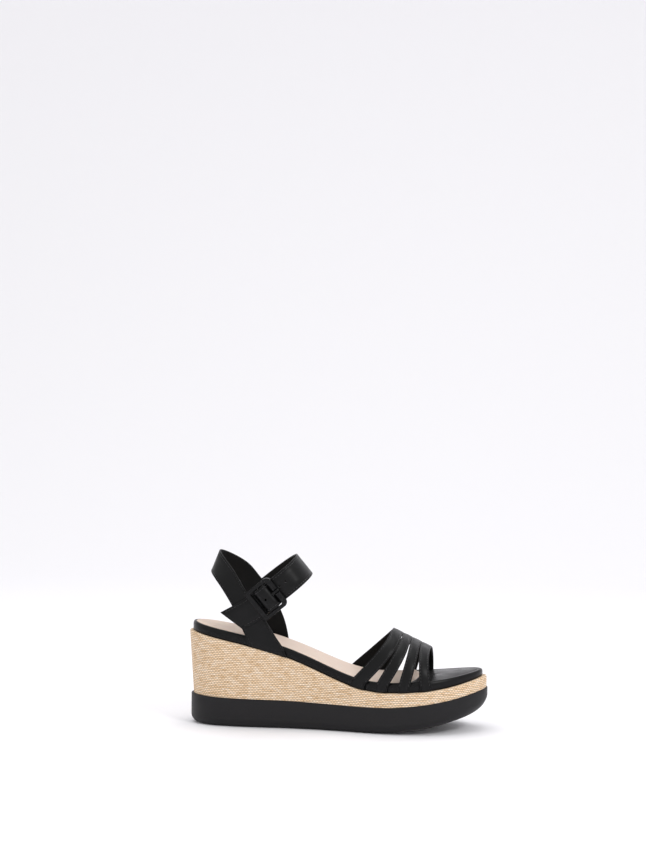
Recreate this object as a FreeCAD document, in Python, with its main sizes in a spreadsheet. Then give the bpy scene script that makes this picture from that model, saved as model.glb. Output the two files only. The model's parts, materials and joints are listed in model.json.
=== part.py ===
import FreeCAD, Part
import math
import os
from FreeCAD import Placement, Rotation, Vector

# A right-foot wedge sandal, in millimetres.
# +X runs from heel to toe, -Y is the outer (buckle) side, +Z is up.
# Everything is drawn from the back of the heel (x = 0) and then moved by the
# cells origin_x and origin_y, so that the origin is under the middle of the sole.

doc = FreeCAD.newDocument("wedge_sandal")
sheet = doc.addObject("Spreadsheet::Sheet", "sizes")

SIZES = [
    ("origin_x", 122.63),
    ("origin_y", -1.58),
    # wedge and platform
    ("foot_length", 248.0),
    ("draw_height", 110.0),
    ("sole_round", 7.0),
    ("wrap_thick", 1.0),
    ("wrap_lip", 9.0),
    # footbed layers, counted upwards from the wedge's top edge
    ("filler_thick", 2.1),
    ("board_thick", 2.0),
    ("foam_thick", 3.4),
    ("cover_thick", 0.8),
    ("sock_thick", 0.8),
    ("sock_end", 189.0),
    ("shank_width", 14.0),
    ("shank_thick", 1.2),
    ("rivet_radius", 2.0),
    ("nail_radius", 1.1),
    ("nail_length", 20.0),
    # straps
    ("face_thick", 1.0),
    ("lining_thick", 0.75),
    ("glue_gap", 0.05),
    ("strap_clear", 0.5),
    ("tuck_length", 9.0),
    ("ankle_width", 21.0),
    ("hole_radius", 1.0),
    # buckle
    ("buckle_long", 25.0),
    ("buckle_wide", 28.5),
    ("end_bar", 4.5),
    ("side_bar", 3.2),
    ("buckle_thick", 3.0),
    ("bar_radius", 1.2),
    ("bar_length", 28.3),
    ("turn_gap", 0.08),
    ("tab_width", 18.0),
    ("tab_loop", 2.4),
    ("prong_width", 2.4),
    ("prong_loop", 2.3),
]
for row, (alias, value) in enumerate(SIZES, start=1):
    sheet.set("A%d" % row, alias)
    sheet.set("B%d" % row, str(value))
    sheet.setAlias("B%d" % row, alias)
doc.recompute()


def size(alias):
    return float(sheet.get(alias))


ORIGIN = Vector(-size("origin_x"), -size("origin_y"), 0)
REACH = 140.0

# ---------------------------------------------------------------- outlines

# Plan of the platform, clockwise from the back of the heel along the outer side.
PLAN = [(0, 0.5), (10, -19), (32, -27.5), (90, -30), (130, -35.5), (178, -44.5),
        (212, -39), (236, -21), (248, 4), (238, 24), (215, 37), (178, 41),
        (130, 29.5), (90, 27), (32, 29), (10, 19.5)]
WAIST_AT = 40.0

# Side profiles as (x, z): underside, seam of platform and wedge, wedge top edge.
# The underside's curve only cuts in front of the ball, where it rises above the flat ground face.
GROUND = [(-6, -1.5), (60, -1.5), (120, -0.8), (150, 0.1), (175, 1.6), (200, 5.2), (225, 11.0),
          (240, 16.4), (252, 25)]
SEAM = [(-6, 25), (30, 24.0), (80, 23.3), (130, 21.8), (165, 21.8), (195, 24.4),
        (225, 29.4), (254, 36.5)]
TOP_EDGE = [(-6, 78.8), (30, 71.4), (60, 65), (90, 56.2), (120, 44.1), (150, 34.7), (180, 33.8),
            (210, 36.5), (254, 46.6)]
# How far the footbed's padding thins towards the toe, as (x, drop).
TOE_THINNING = {210: 0.3, 254: 3.0}


def smooth(points, closed=False):
    """A B-spline through the points."""
    curve = Part.BSplineCurve()
    curve.interpolate(Points=[Vector(*p) for p in points], PeriodicFlag=closed)
    return curve


def plan_curve(heel, waist, toe):
    """The plan moved inwards by three insets, blended from heel to waist to toe."""
    base = smooth([(x, y, 0) for x, y in PLAN], closed=True)
    moved = []
    for x, y in PLAN:
        run = base.tangent(base.parameter(Vector(x, y, 0)))[0]
        inward = Vector(run.y, -run.x, 0)
        if inward.dot(Vector(size("foot_length") / 2 - x, -y, 0)) < 0:
            inward = inward * -1
        if x < WAIST_AT:
            inset_here = heel + (waist - heel) * x / WAIST_AT
        else:
            inset_here = waist + (toe - waist) * (x - WAIST_AT) / (size("foot_length") - WAIST_AT)
        moved.append((x + inward.x * inset_here, y + inward.y * inset_here, 0))
    return smooth(moved, closed=True)


def inset(insets, amount):
    """The same wall moved further in by an amount."""
    return tuple(value + amount for value in insets)


# ---------------------------------------------------------------- bodies


def origin_plane(body, role):
    for feature in body.Origin.OriginFeatures:
        if feature.Role == role:
            return feature


def sole_body(name):
    """A body in the shoe's own frame."""
    body = doc.addObject("PartDesign::Body", name)
    body.Label = name
    body.Placement = Placement(ORIGIN, Rotation())
    body.setExpression(".Placement.Base.x", "-<<sizes>>.origin_x")
    body.setExpression(".Placement.Base.y", "-<<sizes>>.origin_y")
    return body


def sketch_on(body, name, role, geometry, lift=0):
    sketch = body.newObject("Sketcher::SketchObject", name)
    sketch.AttachmentSupport = [(origin_plane(body, role), "")]
    sketch.MapMode = "FlatFace"
    sketch.AttachmentOffset = Placement(Vector(0, 0, lift), Rotation())
    for item in geometry:
        sketch.addGeometry(item, False)
    return sketch


def pocket_through(body, name, role, geometry):
    """Cut a shape drawn on an origin plane right through the body, both ways."""
    pocket = body.newObject("PartDesign::Pocket", name)
    pocket.Profile = sketch_on(body, name + "_sketch", role, geometry)
    pocket.Type = "ThroughAll"
    pocket.SideType = "Symmetric"
    return pocket


def polygon(*corners):
    points = [Vector(a, b, 0) for a, b in corners]
    return [Part.LineSegment(p, q) for p, q in zip(points, points[1:] + points[:1])]


def profile_region(profile, lift, limit):
    """Closed region between a side profile and the level z = limit."""
    points = [Vector(x, z + lift, 0) for x, z in profile]
    start, last = points[0], points[-1]
    corners = [last, Vector(last.x, limit, 0), Vector(start.x, limit, 0), start]
    return [smooth(points)] + [Part.LineSegment(p, q) for p, q in zip(corners, corners[1:])]


def band_between(body, low, high):
    """Cut a body down to the band between two (profile, lift) side curves."""
    pocket_through(body, body.Name + "_above", "XZ_Plane", profile_region(high[0], high[1], REACH))
    pocket_through(body, body.Name + "_below", "XZ_Plane", profile_region(low[0], low[1], -REACH))


def banded_body(name, plans, low, high):
    """A block with the plan outline, cut down to the band between two side profiles.

    plans is a list of (level, insets) from the ground upwards, one for upright walls.
    """
    body = sole_body(name)
    sketches = [sketch_on(body, name + "_plan_%d" % i, "XY_Plane", [plan_curve(*insets)], level)
                for i, (level, insets) in enumerate(plans)]
    if len(plans) == 1:
        block = body.newObject("PartDesign::Pad", name + "_block")
        block.Profile = sketches[0]
        block.setExpression("Length", "<<sizes>>.draw_height")
    else:
        block = body.newObject("PartDesign::AdditiveLoft", name + "_block")
        block.Profile = sketches[0]
        block.Sections = sketches[1:]
        block.Ruled = True
    band_between(body, low, high)
    return body


# Insets (heel, waist, toe) from the plan: the wedge's wall at the ground and at
# draw_height, the footbed's rim, and the sock's edge.
WRAP_FOOT = (3.7, 1.0, 1.0)
WRAP_HEAD = (-3.8, 0.2, 0.6)
RIM = (1.2, 2.9, 4.2)
SOCK = (3.8, 6.4, 8.0)


def wedge_walls(amount):
    """The wedge's leaning walls, moved in by an amount."""
    return [(0, inset(WRAP_FOOT, amount)), (size("draw_height"), inset(WRAP_HEAD, amount))]


wrap = size("wrap_thick")
edge_round = size("sole_round")
sole_walls = [(edge_round * (1 - math.cos(a)), (edge_round * (1 - math.sin(a)),) * 3)
              for a in (0, math.pi / 6, math.pi / 3, math.pi / 2)]
sole_walls.append((size("draw_height"), (0, 0, 0)))
inner_rim = inset(RIM, size("cover_thick"))
window_wall = [(0, inset(RIM, size("wrap_lip")))]

# Heights of the footbed's layers above the wedge's top edge.
board_low = size("filler_thick")
foam_low = board_low + size("board_thick")
cover_low = foam_low + size("foam_thick")
cover_high = cover_low + size("cover_thick")
sock_high = cover_high + size("sock_thick")
shank_low = board_low - size("shank_thick")

sole = banded_body("platform_sole", sole_walls, (GROUND, 0), (SEAM, 0))
block = banded_body("wedge_block", wedge_walls(0), (SEAM, 0), (TOP_EDGE, 0))
core = banded_body("core_block", wedge_walls(wrap), (SEAM, 0), (TOP_EDGE, -wrap))
window = banded_body("wrap_window", window_wall, (TOP_EDGE, -5), (TOP_EDGE, 5))
plug = banded_body("core_plug", window_wall, (TOP_EDGE, -wrap - 0.5), (TOP_EDGE, 0))
filler = banded_body("filler_block", [(0, RIM)], (TOP_EDGE, 0), (TOP_EDGE, board_low))
board = banded_body("board_block", [(0, inner_rim)], (TOP_EDGE, board_low), (TOP_EDGE, foam_low))
padding = [(x, z - TOE_THINNING.get(x, 0)) for x, z in TOP_EDGE]
foam = banded_body("footbed_foam", [(0, inner_rim)], (TOP_EDGE, foam_low), (padding, cover_low))
cover = banded_body("cover_block", [(0, RIM)], (TOP_EDGE, board_low), (padding, cover_high))
cavity = banded_body("cover_cavity", [(0, inner_rim)], (TOP_EDGE, -3), (padding, cover_low))
sock = banded_body("sock_lining", [(0, SOCK)], (padding, cover_high), (padding, sock_high))

# The sock stops under the toes, with a slightly curved front edge.
front_edge = size("sock_end")
corner = Vector(front_edge - 3, 60, 0)
far_corner = Vector(front_edge - 3, -60, 0)
pocket_through(sock, "sock_front", "XY_Plane", [
    Part.Arc(far_corner, Vector(front_edge + 3, 0, 0), corner),
    Part.LineSegment(corner, Vector(270, 60, 0)),
    Part.LineSegment(Vector(270, 60, 0), Vector(270, -60, 0)),
    Part.LineSegment(Vector(270, -60, 0), far_corner)])

# Steel shank: a stiff strip under the arch, let into the filler.
SHANK_FROM, SHANK_TO, SHANK_Y = 38.0, 132.0, -1.0
half = size("shank_width") / 2
shank = sole_body("shank_strip")
strip = shank.newObject("PartDesign::Pad", "shank_block")
strip.Profile = sketch_on(shank, "shank_plan", "XY_Plane", [
    Part.LineSegment(Vector(SHANK_FROM, SHANK_Y - half, 0), Vector(SHANK_TO, SHANK_Y - half, 0)),
    Part.Arc(Vector(SHANK_TO, SHANK_Y - half, 0), Vector(SHANK_TO + half, SHANK_Y, 0),
             Vector(SHANK_TO, SHANK_Y + half, 0)),
    Part.LineSegment(Vector(SHANK_TO, SHANK_Y + half, 0), Vector(SHANK_FROM, SHANK_Y + half, 0)),
    Part.Arc(Vector(SHANK_FROM, SHANK_Y + half, 0), Vector(SHANK_FROM - half, SHANK_Y, 0),
             Vector(SHANK_FROM, SHANK_Y - half, 0))])
strip.setExpression("Length", "<<sizes>>.draw_height")
band_between(shank, (TOP_EDGE, shank_low), (TOP_EDGE, board_low))

# ---------------------------------------------------------------- ribbons


def ribbon(rear, front, outside, inside):
    """Solid strap between two rails, from `outside` to `inside` below the rails' surface.

    Each station is a rectangle square to the path; at a bend it lies on the mitre.
    """
    count = len(rear)
    middle = [(a + b) * 0.5 for a, b in zip(rear, front)]
    sections = []
    for i in range(count):
        across = (front[i] - rear[i]).normalize()
        back = max(i, 1)
        ahead = min(i + 1, count - 1)
        down_before = (middle[back] - middle[back - 1]).cross(across).normalize()
        down_after = (middle[ahead] - middle[ahead - 1]).cross(across).normalize()
        down = (down_before + down_after).normalize()
        down = down * (1.0 / max(0.5, down.dot(down_before)))
        corners = [rear[i] + down * outside, front[i] + down * outside,
                   front[i] + down * inside, rear[i] + down * inside]
        sections.append(Part.makePolygon(corners + [corners[0]]))
    return Part.makeLoft(sections, True, True)


def add_feature(name, shape):
    feature = doc.addObject("Part::Feature", name)
    feature.Label = name
    feature.Shape = shape
    feature.Placement = Placement(ORIGIN, Rotation())
    return feature


def add_strap(name, lining, rear, front):
    """A face strap and its lining, glued back to back."""
    face = size("face_thick")
    back = face + size("glue_gap")
    add_feature(name, ribbon(rear, front, 0, face))
    add_feature(lining, ribbon(rear, front, back, back + size("lining_thick")))


STRAP_THICK = size("face_thick") + size("glue_gap") + size("lining_thick")
TOP_CURVE = smooth([(x, z, 0) for x, z in TOP_EDGE])
RIM_CURVE = plan_curve(*inset(RIM, -STRAP_THICK - size("strap_clear")))


def top_z(x):
    """Height of the wedge's top edge."""
    return TOP_CURVE.intersectCC(Part.LineSegment(Vector(x, -REACH, 0), Vector(x, REACH, 0)))[0].Y


def rim_y(x, side):
    """Where a strap's outer face stands beside the footbed; side is -1 outer, +1 inner."""
    line = Part.LineSegment(Vector(x, 0, 0), Vector(x, REACH * side, 0))
    return RIM_CURVE.intersectCC(line)[0].Y


# Vamp straps: x of the rear and front edge at the outer rim, the crown and the inner rim.
VAMP = [
    ((138.0, 169.8, 130.0), (150.0, 178.2, 141.7)),
    ((158.5, 178.55, 153.0), (169.0, 185.5, 163.0)),
    ((177.5, 185.85, 177.0), (187.0, 193.3, 185.5)),
    ((195.3, 193.65, 192.0), (204.5, 201.4, 201.0)),
]
CROWN_AT, CROWN_HIGH, CROWN_FALL = 169.8, 81.7, 0.483
RIM_STEP = 4.0
ARCH = 2.3
# How late an edge sweeps back, on the outer and on the inner side. A front edge stays beside the
# next strap for longer than a rear edge does, so the gaps open low down.
REAR_SWEEP, FRONT_SWEEP = (2.6, 2.3), (3.05, 2.7)
TURNS = [-1, -0.93, -0.84, -0.7, -0.5, -0.25, 0, 0.25, 0.5, 0.7, 0.84, 0.93, 1]


def arch_point(edge, sweep, turn):
    """A point of the instep arch: turn runs from -1 at the outer rim to +1 at the inner rim."""
    outer, crown, inner = edge
    base = outer if turn < 0 else inner
    power = sweep[0] if turn < 0 else sweep[1]
    x = crown + (base - crown) * abs(turn) ** power
    outer_y, inner_y = rim_y(x, -1), rim_y(x, 1)
    low = top_z(x) + RIM_STEP
    high = CROWN_HIGH - CROWN_FALL * (x - CROWN_AT)
    angle = abs(turn) * math.pi / 2
    sideways = math.copysign(math.sin(angle) ** (2 / ARCH), turn)
    y = (outer_y + inner_y) / 2 + (inner_y - outer_y) / 2 * sideways
    return Vector(x, y, low + (high - low) * max(0.0, math.cos(angle)) ** (2 / ARCH))


def tuck(x, side, inward):
    """A point of a strap's margin: at the foot of the rim, or in under the footbed."""
    return Vector(x, rim_y(x, side) - side * inward, top_z(x) + 0.05)


def vamp_rail(edge, sweep):
    outer, crown, inner = edge
    deep = size("tuck_length")
    return ([tuck(outer, -1, deep), tuck(outer, -1, 0)] + [arch_point(edge, sweep, turn) for turn in TURNS]
            + [tuck(inner, 1, 0), tuck(inner, 1, deep)])


for number, (rear, front) in enumerate(VAMP, start=1):
    add_strap("vamp_strap_%d" % number, "vamp_lining_%d" % number,
              vamp_rail(rear, REAR_SWEEP), vamp_rail(front, FRONT_SWEEP))

# Sling strap: matching stations of its lower and upper edge, from the outer side
# of the footbed, up behind the heel and down to the inner side.
SLING_LOWER = [(52.0, -28.9, 72), (50.0, -29.0, 76), (47.2, -29.1, 82), (43.4, -29.0, 91),
               (36.4, -27.2, 103.8), (26.4, -22.6, 117.5), (19.2, -13.5, 124.6), (16.2, 0.5, 127.0),
               (17.6, 8.5, 126.5), (20.2, 14.5, 124.8), (26.5, 22.5, 118.0), (35.0, 26.8, 108.0),
               (43.5, 28.2, 96.5), (50.5, 29.0, 84.5), (56.5, 29.3, 75), (59.0, 29.25, 71)]
SLING_UPPER = [(83.6, -29.5, 62), (82.0, -29.6, 66), (77.8, -29.6, 72.5), (70.8, -29.7, 83.2),
               (60.5, -29.3, 98.6), (49.8, -27.3, 113.1), (38.2, -20.5, 129.4), (23.3, 0.5, 144.6),
               (28.6, 12.2, 141.8), (35.8, 19.8, 137.2), (44.8, 25.6, 129.9), (52.0, 27.8, 121.0),
               (60.5, 28.8, 110.5), (68.5, 29.0, 96.5), (75.0, 28.7, 81.0), (78.0, 28.2, 68)]
SLING_STEPS = 3


def between(points, steps):
    """Points of the smooth curve through a rail, with some more in each gap."""
    curve = smooth(points)
    knots = [curve.parameter(Vector(*p)) for p in points]
    extra = [a + (b - a) * i / steps for a, b in zip(knots, knots[1:]) for i in range(steps)]
    return [curve.value(where) for where in extra + knots[-1:]]


def sling_rail(points, reach):
    """The strap's edge with its two ends carried down the rim and in under the footbed."""
    deep = size("tuck_length")
    outer, inner = points[0][0] + reach, points[-1][0] + reach
    return ([tuck(outer, -1, deep), tuck(outer, -1, 0)] + between(points, SLING_STEPS)
            + [tuck(inner, 1, 0), tuck(inner, 1, deep)])


add_strap("sling_strap", "sling_lining", sling_rail(SLING_LOWER, 0.5), sling_rail(SLING_UPPER, 0.8))

# ---------------------------------------------------------------- fasteners and lasting


def slope_at(x):
    return math.degrees(math.atan2(top_z(x + 1) - top_z(x - 1), 2))


def pin_shape(x, y, radius, low, high):
    """A round pin square to the footbed at (x, y), from low to high above the wedge's top edge."""
    slope = slope_at(x)
    upright = Rotation(Vector(0, 1, 0), -slope).multVec(Vector(0, 0, 1))
    foot = Vector(x, y, top_z(x)) + upright * low
    flatten = math.cos(math.radians(slope))
    return Part.makeCylinder(radius, (high - 0.1) * flatten - low, foot, upright)


RIVETS = (46.0, 124.0)
NAILS = [(17, 0.5), (27, -10), (27, 11), (39, -13), (39, 14)]
rivets = add_feature("shank_rivets", Part.makeCompound(
    [pin_shape(x, SHANK_Y, size("rivet_radius"), shank_low, foam_low) for x in RIVETS]))
nails = add_feature("heel_nails", Part.makeCompound(
    [pin_shape(x, y, size("nail_radius"), -size("nail_length"), foam_low) for x, y in NAILS]))


def cut(name, base, tool):
    result = doc.addObject("Part::Cut", name)
    result.Label = name
    result.Base = base
    result.Tool = tool
    return result


def group(name, members):
    result = doc.addObject("Part::Compound", name)
    result.Links = members
    return result


strap_names = [kind + number for kind in ("vamp_strap_", "vamp_lining_") for number in "1234"]
strap_names += ["sling_strap", "sling_lining"]
margins = group("strap_margins", [doc.getObject(name) for name in strap_names])
pins = group("pins", [rivets, nails])
core_whole = doc.addObject("Part::MultiFuse", "core_whole")
core_whole.Shapes = [core, plug]


def main_solid(name, source):
    """The largest solid of a cut, without the crumbs beside it."""
    doc.recompute()
    feature = doc.addObject("Part::Feature", name)
    feature.Label = name
    feature.Shape = max(source.Shape.Solids, key=lambda solid: solid.Volume)


wrap_open = cut("wrap_open", cut("wrap_shell", block, core), window)
main_solid("raffia_wrap", cut("wrap_margins", wrap_open, margins))
cut("wedge_core", core_whole, nails)
cut("steel_shank", shank, rivets)
filler_cut = cut("filler_margins", cut("filler_pins", filler, pins), margins)
main_solid("lasting_filler", cut("filler_open", filler_cut, shank))
cut("insole_board", board, pins)
cut("footbed_cover", cover, cavity)

# ---------------------------------------------------------------- ankle strap and buckle
# Local frame of these pieces: X along the strap (rising towards the front), Y across
# it (upwards), Z from the ankle outwards. Its origin is the middle of the buckle's bar.

BAR = Vector(68.8, -34.5, 107.6)
RISE = math.radians(39.0)
SPLAY = math.radians(6.2)
outer_side = Vector(0, -1, 0)
flat_up = Vector(-math.sin(RISE), 0, math.cos(RISE))
along = Vector(math.cos(RISE), 0, math.sin(RISE))
up = flat_up * math.cos(SPLAY) + outer_side * math.sin(SPLAY)
ANKLE = Placement(ORIGIN + BAR, Rotation(along, up, along.cross(up), "XYZ"))


def ankle_body(name):
    body = doc.addObject("PartDesign::Body", name)
    body.Label = name
    body.Placement = ANKLE
    return body


def pad_on(body, name, role, geometry, length, lift=0, symmetric=False):
    pad = body.newObject("PartDesign::Pad", name)
    pad.Profile = sketch_on(body, name + "_sketch", role, geometry, lift)
    if symmetric:
        pad.SideType = "Symmetric"
    if isinstance(length, str):
        pad.setExpression("Length", "<<sizes>>." + length)
    else:
        pad.Length = length
    return pad


def strip_outline(path, near, far):
    """Closed outline of the band between two distances to the left of a path."""
    spine = smooth([(a, b, 0) for a, b in path])
    edges = []
    for distance in (near, far):
        side = []
        for a, b in path:
            run = spine.tangent(spine.parameter(Vector(a, b, 0)))[0]
            side.append(Vector(a - run.y * distance, b + run.x * distance, 0))
        edges.append(side)
    low, high = edges
    return [smooth(low), smooth(high), Part.LineSegment(low[0], high[0]),
            Part.LineSegment(low[-1], high[-1])]


def circle(a, b, radius):
    return Part.Circle(Vector(a, b, 0), Vector(0, 0, 1), radius)


def rounded_box(x0, x1, half_y, rear_round, front_round):
    """Rectangle in the (along, up) plane with its own corner radius at each end."""
    r, f = rear_round, front_round
    c = math.sqrt(0.5)
    lines = [((x0 + r, -half_y), (x1 - f, -half_y)), ((x1, -half_y + f), (x1, half_y - f)),
             ((x1 - f, half_y), (x0 + r, half_y)), ((x0, half_y - r), (x0, -half_y + r))]
    centres = [(x1 - f, -half_y + f, f, 1, -1), (x1 - f, half_y - f, f, 1, 1),
               (x0 + r, half_y - r, r, -1, 1), (x0 + r, -half_y + r, r, -1, -1)]
    arcs = []
    for (first, second), (cx, cy, radius, sx, sy) in zip(zip(lines, lines[1:] + lines[:1]), centres):
        middle = Vector(cx + sx * radius * c, cy + sy * radius * c, 0)
        arcs.append(Part.Arc(Vector(*first[1], 0), middle, Vector(*second[0], 0)))
    return [Part.LineSegment(Vector(*a, 0), Vector(*b, 0)) for a, b in lines] + arcs


# Middle line of the ankle strap as (along, outward): sewn end on the inner side, round
# the front of the ankle, under the buckle's front bar, over its middle bar, under the rear bar.
ANKLE_PATH = [(-24, -65.9), (-5, -65.4), (12, -62.6), (26, -54.5), (34.6, -41), (36.8, -27),
              (34.2, -14), (28.5, -6.4), (21, -3.1), (14, -2.2), (9.8, -2.2), (7.5, -1.7), (5.9, 0.8),
              (4.7, 2.9), (2.3, 3.9), (0, 4.05), (-2.2, 3.8), (-4.2, 2.2), (-5.8, -0.3), (-7.6, -1.9),
              (-9.8, -2.2), (-14.7, -2.2)]
TAIL_PATH = [(-15.0, -2.2), (-24, -2.2), (-33, -2.35), (-42, -2.6)]
HALF_THICK = 0.9
FACE_BAND = (-HALF_THICK, 0.1)
LINING_BAND = (0.15, HALF_THICK)
# The tail runs slightly downwards and ends in a slanted cut; what lies past this line is waste.
TAIL_WASTE = [[(-15, 10.6), (-37.8, 14.4), (-60, 14.4), (-60, 40), (-10, 40)],
              [(-15, -10.6), (-32.2, -7.6), (-60, -7.6), (-60, -40), (-10, -40)],
              [(-31.0, -14.0), (-39.6, 21.0), (-60, 21), (-60, -14)]]
PRONG_SLOT = (1.6, 8.2, 1.8)
HOLES = [(-0.6, 0.0), (14.3, 1.2), (20.4, 1.2)]

for name, band in (("ankle_strap", FACE_BAND), ("ankle_lining", LINING_BAND)):
    body = ankle_body(name)
    pad_on(body, name + "_pad", "XZ_Plane", strip_outline(ANKLE_PATH, *band), "ankle_width", symmetric=True)
    # holes go only through the near side of the loop
    rear, fore, side = PRONG_SLOT
    shapes = polygon((rear, -side), (fore, -side), (fore, side), (rear, side))
    shapes += [circle(a, b, size("hole_radius")) for a, b in HOLES]
    holes = body.newObject("PartDesign::Pocket", name + "_holes")
    holes.Profile = sketch_on(body, name + "_holes_plan", "XY_Plane", shapes, -8)
    holes.Reversed = True
    holes.Length = 20

for name, band in (("ankle_strap_tail", FACE_BAND), ("ankle_tail_lining", LINING_BAND)):
    body = ankle_body(name)
    pad_on(body, name + "_pad", "XZ_Plane", strip_outline(TAIL_PATH, *band), 40.0, symmetric=True)
    for i, waste in enumerate(TAIL_WASTE):
        pocket_through(body, name + "_trim_%d" % i, "XY_Plane", polygon(*waste))

# Square frame: the front corners are round, the rear ones nearly sharp.
long_half, wide_half = size("buckle_long") / 2, size("buckle_wide") / 2
end_bar, side_bar = size("end_bar"), size("side_bar")
FRAME_LOW = -0.1
NOTCH_FLOOR = 2.1
LUG_LOW, LUG_HALF = -1.7, 3.2
frame = ankle_body("buckle_frame")
pad_on(frame, "frame_ring", "XY_Plane",
       rounded_box(-long_half, long_half, wide_half, 1.2, 4.5)
       + rounded_box(-long_half + end_bar, long_half - end_bar, wide_half - side_bar, 0.6, 1.6),
       "buckle_thick", FRAME_LOW)
lug_in = wide_half - side_bar + 0.2
for i, way in enumerate((1, -1)):
    pad_on(frame, "frame_lug_%d" % i, "XY_Plane",
           polygon((-LUG_HALF, way * lug_in), (LUG_HALF, way * lug_in),
                   (LUG_HALF, way * wide_half), (-LUG_HALF, way * wide_half)),
           FRAME_LOW - LUG_LOW + 0.5, LUG_LOW)
pocket_through(frame, "bar_holes", "XZ_Plane", [circle(0, 0, size("bar_radius"))])
notch = frame.newObject("PartDesign::Pocket", "prong_notch")
notch.Profile = sketch_on(frame, "notch_plan", "XY_Plane",
                          polygon((7, -1.6), (14, -1.6), (14, 1.6), (7, 1.6)), NOTCH_FLOOR)
notch.Reversed = True
notch.Length = 5

bar = ankle_body("buckle_bar")
pad_on(bar, "bar_rod", "XZ_Plane", [circle(0, 0, size("bar_radius"))], "bar_length", symmetric=True)

prong = ankle_body("buckle_prong")
pad_on(prong, "prong_ring", "XZ_Plane", [circle(0, 0, size("prong_loop"))], "prong_width", symmetric=True)
pad_on(prong, "prong_arm", "XZ_Plane",
       polygon((-0.6, 2.2), (4.4, 3.0), (7.6, 3.8), (13.0, 3.7), (13.6, 3.1), (13.2, 2.15), (7.9, 2.15),
               (5.2, 1.5), (1.4, 1.4)), "prong_width", symmetric=True)
pocket_through(prong, "prong_bore", "XZ_Plane", [circle(0, 0, size("bar_radius") + size("turn_gap"))])

# Tab that holds the bar: two glued layers on the sling, rising to a loop round the bar.
TAB_PATH = [(-27, -4.2), (-18, -4.2), (-11, -4.2), (-7.2, -3.8), (-4.4, -2.7), (-1.8, -1.2)]
tab = ankle_body("tab_whole")
pad_on(tab, "tab_leg", "XZ_Plane", strip_outline(TAB_PATH, -0.8, 0.8), "tab_width", symmetric=True)
pad_on(tab, "tab_ring", "XZ_Plane", [circle(0, 0, size("tab_loop"))], "tab_width", symmetric=True)
pocket_through(tab, "tab_bore", "XZ_Plane", [circle(0, 0, size("bar_radius") + size("turn_gap"))])
pocket_through(tab, "tab_slot", "XY_Plane", polygon((-3.4, -1.8), (3.4, -1.8), (3.4, 1.8), (-3.4, 1.8)))
main_solid("buckle_tab", cut("tab_seated", tab, doc.getObject("sling_strap")))

# ---------------------------------------------------------------- check and write

doc.recompute()

NODES = ["platform_sole", "wedge_core", "raffia_wrap", "lasting_filler", "steel_shank", "shank_rivets",
         "heel_nails", "insole_board", "footbed_foam", "footbed_cover", "sock_lining"]
NODES += ["vamp_strap_%d" % n for n in range(1, 5)] + ["vamp_lining_%d" % n for n in range(1, 5)]
NODES += ["sling_strap", "sling_lining", "ankle_strap", "ankle_lining", "ankle_strap_tail",
          "ankle_tail_lining", "buckle_tab", "buckle_frame", "buckle_bar", "buckle_prong"]

for item in doc.Objects:
    if "Invalid" in item.State or "Error" in item.State:
        raise RuntimeError("%s did not compute: %s" % (item.Name, item.State))
os.makedirs("parts", exist_ok=True)
whole = FreeCAD.BoundBox()
for name in NODES:
    shape = doc.getObject(name).Shape
    if shape.isNull() or not shape.isValid() or not shape.Solids:
        raise RuntimeError("%s has no sound solid" % name)
for name in NODES:
    shape = doc.getObject(name).Shape
    shape.exportStep("parts/%s.step" % name)
    whole.add(shape.BoundBox)
    print("%-18s %2d solid(s) %9.1f mm3" % (name, len(shape.Solids), shape.Volume))
print("whole", whole)
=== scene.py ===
# %% [markdown]
# # A wedge sandal with narrow vamp straps and a buckled ankle strap
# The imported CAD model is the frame: it holds every size and every moving body.
# This lesson dresses that frame. Nearly all of a shoe is made of three shapes:
# a band carried round the footprint, a flat strap carried along two edges, and
# a pad stretched across an outline. Each is worked out as whole arrays of points.

# %% Load the frame
import json
import bmesh
import bpy
import numpy as np
from mathutils import Matrix, Vector


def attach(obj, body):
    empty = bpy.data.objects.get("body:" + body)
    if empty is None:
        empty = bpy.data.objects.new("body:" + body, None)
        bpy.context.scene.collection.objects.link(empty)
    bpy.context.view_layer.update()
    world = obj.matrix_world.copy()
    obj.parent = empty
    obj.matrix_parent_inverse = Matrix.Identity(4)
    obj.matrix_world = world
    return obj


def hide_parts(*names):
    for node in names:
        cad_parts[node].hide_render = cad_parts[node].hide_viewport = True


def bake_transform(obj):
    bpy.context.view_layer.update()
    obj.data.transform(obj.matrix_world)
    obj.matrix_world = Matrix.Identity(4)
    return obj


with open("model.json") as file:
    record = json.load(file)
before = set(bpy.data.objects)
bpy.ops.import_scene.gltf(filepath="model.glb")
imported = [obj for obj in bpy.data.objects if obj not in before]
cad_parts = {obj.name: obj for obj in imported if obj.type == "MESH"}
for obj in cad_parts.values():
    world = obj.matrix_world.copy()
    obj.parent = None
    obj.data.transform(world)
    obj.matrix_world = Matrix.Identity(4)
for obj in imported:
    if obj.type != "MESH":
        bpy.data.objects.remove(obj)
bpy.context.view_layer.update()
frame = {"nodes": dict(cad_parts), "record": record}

# %% [markdown]
# ## The drawing frame
# A shoemaker measures from the back of the heel. All shapes here are drawn in
# millimetres from that point and moved once, at the end, into the shared frame.

# %% Millimetres from the heel to metres in the frame
HEEL = np.array([-122.63, 1.58, 0.0])
LENGTH = 248.0


def to_frame(points):
    """Adds the heel's place to drawing millimetres and divides by a thousand."""
    return (np.asarray(points, float) + HEEL) / 1000.0


def unit(vectors):
    """Each vector divided by its own length."""
    return vectors / np.maximum(np.linalg.norm(vectors, axis=-1, keepdims=True), 1e-9)


def ease(x):
    """0 below 0, 1 above 1 and a smooth S between: three x squared minus two x cubed."""
    x = np.clip(x, 0, 1)
    return x * x * (3 - 2 * x)


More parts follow.
